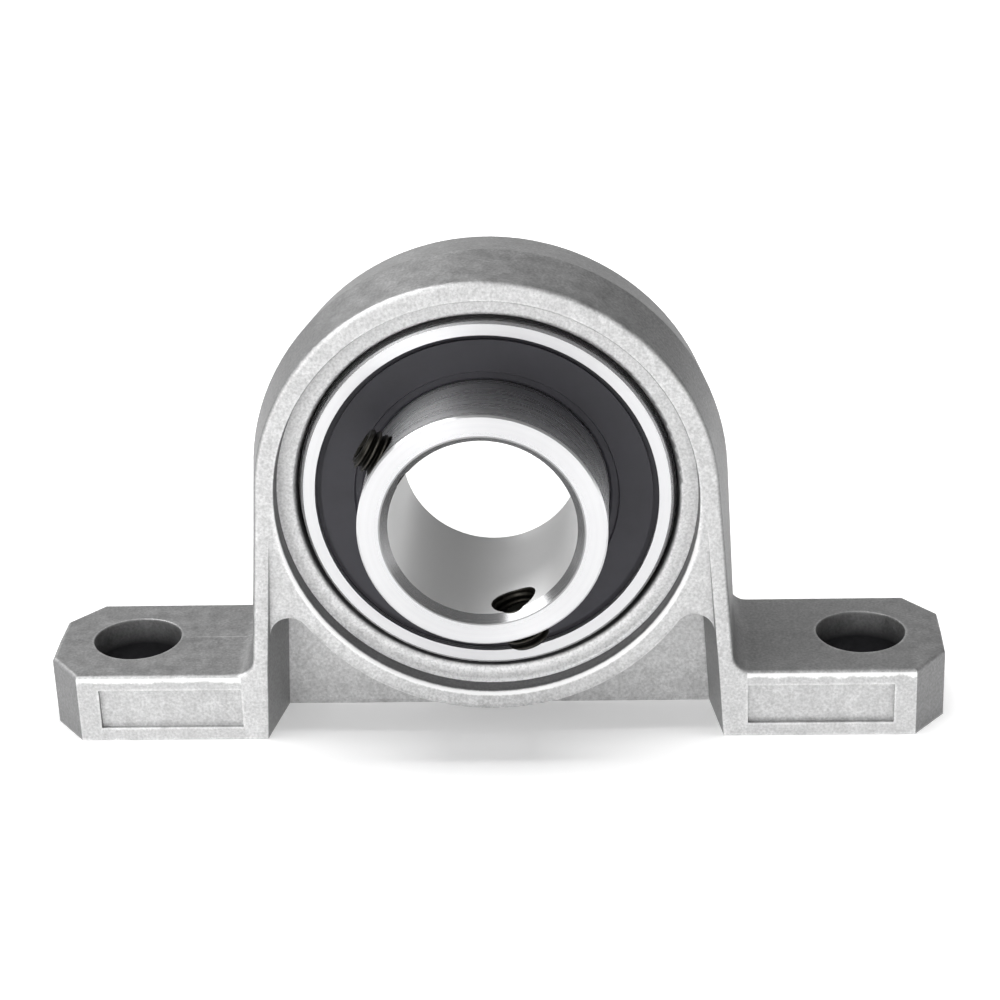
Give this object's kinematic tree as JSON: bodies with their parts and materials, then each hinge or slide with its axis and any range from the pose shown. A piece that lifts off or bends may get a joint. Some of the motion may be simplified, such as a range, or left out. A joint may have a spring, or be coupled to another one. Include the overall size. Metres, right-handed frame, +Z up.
{
  "type": "pillow block bearing",
  "caption": "Small pillow block bearing: die-cast housing with an arched ring over a flat foot, self-aligning sealed ball bearing insert, set screws in its collar.",
  "frame": {"origin": "on the base plane, midway between the bolt holes", "axes": "+Z up from the base; the shaft axis runs along Y at z = 0.028; -Y is the front, where the collar with the set screws stands out; +X runs along the foot, to the right as seen from the front"},
  "size_m": [0.1, 0.024, 0.0542],
  "materials": {
    "zinc_casting": "satin, bead-blasted zinc die casting",
    "bearing_steel": "ground",
    "ball_steel": "lapped",
    "cage_steel": "cold-rolled sheet, tumbled",
    "seal_core_steel": "cold-rolled sheet",
    "seal_rubber": "moulded, matte",
    "black_screw_steel": "black oxide"
  },
  "bodies": {
    "housing": {"housing": "zinc_casting"},
    "outer_ring": {"outer_ring": "bearing_steel", "front_seal_core": "seal_core_steel", "front_seal_rubber": "seal_rubber", "rear_seal_core": "seal_core_steel", "rear_seal_rubber": "seal_rubber"},
    "inner_ring": {"inner_ring": "bearing_steel"},
    "cage": {"cage_front_half": "cage_steel", "cage_rear_half": "cage_steel", "cage_rivets": "cage_steel"},
    "ball_1": {"ball_1": "ball_steel"},
    "ball_2": {"ball_2": "ball_steel"},
    "ball_3": {"ball_3": "ball_steel"},
    "ball_4": {"ball_4": "ball_steel"},
    "ball_5": {"ball_5": "ball_steel"},
    "ball_6": {"ball_6": "ball_steel"},
    "ball_7": {"ball_7": "ball_steel"},
    "ball_8": {"ball_8": "ball_steel"},
    "ball_9": {"ball_9": "ball_steel"},
    "set_screw_1": {"set_screw_1": "black_screw_steel"},
    "set_screw_2": {"set_screw_2": "black_screw_steel"}
  },
  "joints": [
    {"name": "self_align", "type": "hinge", "parent": "housing", "child": "outer_ring", "pos_m": [0, 0, 0.028], "axis": [1, 0, 0], "range_deg": [-3, 3]},
    {"name": "inner_spin", "type": "hinge", "parent": "outer_ring", "child": "inner_ring", "pos_m": [0, 0, 0.028], "axis": [0, 1, 0], "continuous": true},
    {"name": "cage_spin", "type": "hinge", "parent": "outer_ring", "child": "cage", "pos_m": [0, 0, 0.028], "axis": [0, 1, 0], "continuous": true},
    {"name": "ball_1_spin", "type": "hinge", "parent": "cage", "child": "ball_1", "pos_m": [0, 0, 0.0435], "axis": [0, 1, 0], "continuous": true},
    {"name": "ball_2_spin", "type": "hinge", "parent": "cage", "child": "ball_2", "pos_m": [0.00996, 0, 0.03987], "axis": [0, 1, 0], "continuous": true},
    {"name": "ball_3_spin", "type": "hinge", "parent": "cage", "child": "ball_3", "pos_m": [0.01526, 0, 0.03069], "axis": [0, 1, 0], "continuous": true},
    {"name": "ball_4_spin", "type": "hinge", "parent": "cage", "child": "ball_4", "pos_m": [0.01342, 0, 0.02025], "axis": [0, 1, 0], "continuous": true},
    {"name": "ball_5_spin", "type": "hinge", "parent": "cage", "child": "ball_5", "pos_m": [0.0053, 0, 0.01343], "axis": [0, 1, 0], "continuous": true},
    {"name": "ball_6_spin", "type": "hinge", "parent": "cage", "child": "ball_6", "pos_m": [-0.0053, 0, 0.01343], "axis": [0, 1, 0], "continuous": true},
    {"name": "ball_7_spin", "type": "hinge", "parent": "cage", "child": "ball_7", "pos_m": [-0.01342, 0, 0.02025], "axis": [0, 1, 0], "continuous": true},
    {"name": "ball_8_spin", "type": "hinge", "parent": "cage", "child": "ball_8", "pos_m": [-0.01526, 0, 0.03069], "axis": [0, 1, 0], "continuous": true},
    {"name": "ball_9_spin", "type": "hinge", "parent": "cage", "child": "ball_9", "pos_m": [-0.00996, 0, 0.03987], "axis": [0, 1, 0], "continuous": true},
    {"name": "set_screw_1_travel", "type": "slide", "parent": "inner_ring", "child": "set_screw_1", "axis": [-0.2924, 0, 0.9563], "range_m": [-0.0015, 0.0012]},
    {"name": "set_screw_2_travel", "type": "slide", "parent": "inner_ring", "child": "set_screw_2", "axis": [0.8192, 0, -0.5736], "range_m": [-0.0015, 0.0012]}
  ],
  "couplings": [
    {"joint": "cage_spin", "follows": "inner_spin", "ratio": 0.39758},
    {"joint": "ball_1_spin", "follows": "inner_spin", "ratio": -2.3385},
    {"joint": "ball_2_spin", "follows": "inner_spin", "ratio": -2.3385},
    {"joint": "ball_3_spin", "follows": "inner_spin", "ratio": -2.3385},
    {"joint": "ball_4_spin", "follows": "inner_spin", "ratio": -2.3385},
    {"joint": "ball_5_spin", "follows": "inner_spin", "ratio": -2.3385},
    {"joint": "ball_6_spin", "follows": "inner_spin", "ratio": -2.3385},
    {"joint": "ball_7_spin", "follows": "inner_spin", "ratio": -2.3385},
    {"joint": "ball_8_spin", "follows": "inner_spin", "ratio": -2.3385},
    {"joint": "ball_9_spin", "follows": "inner_spin", "ratio": -2.3385}
  ]
}
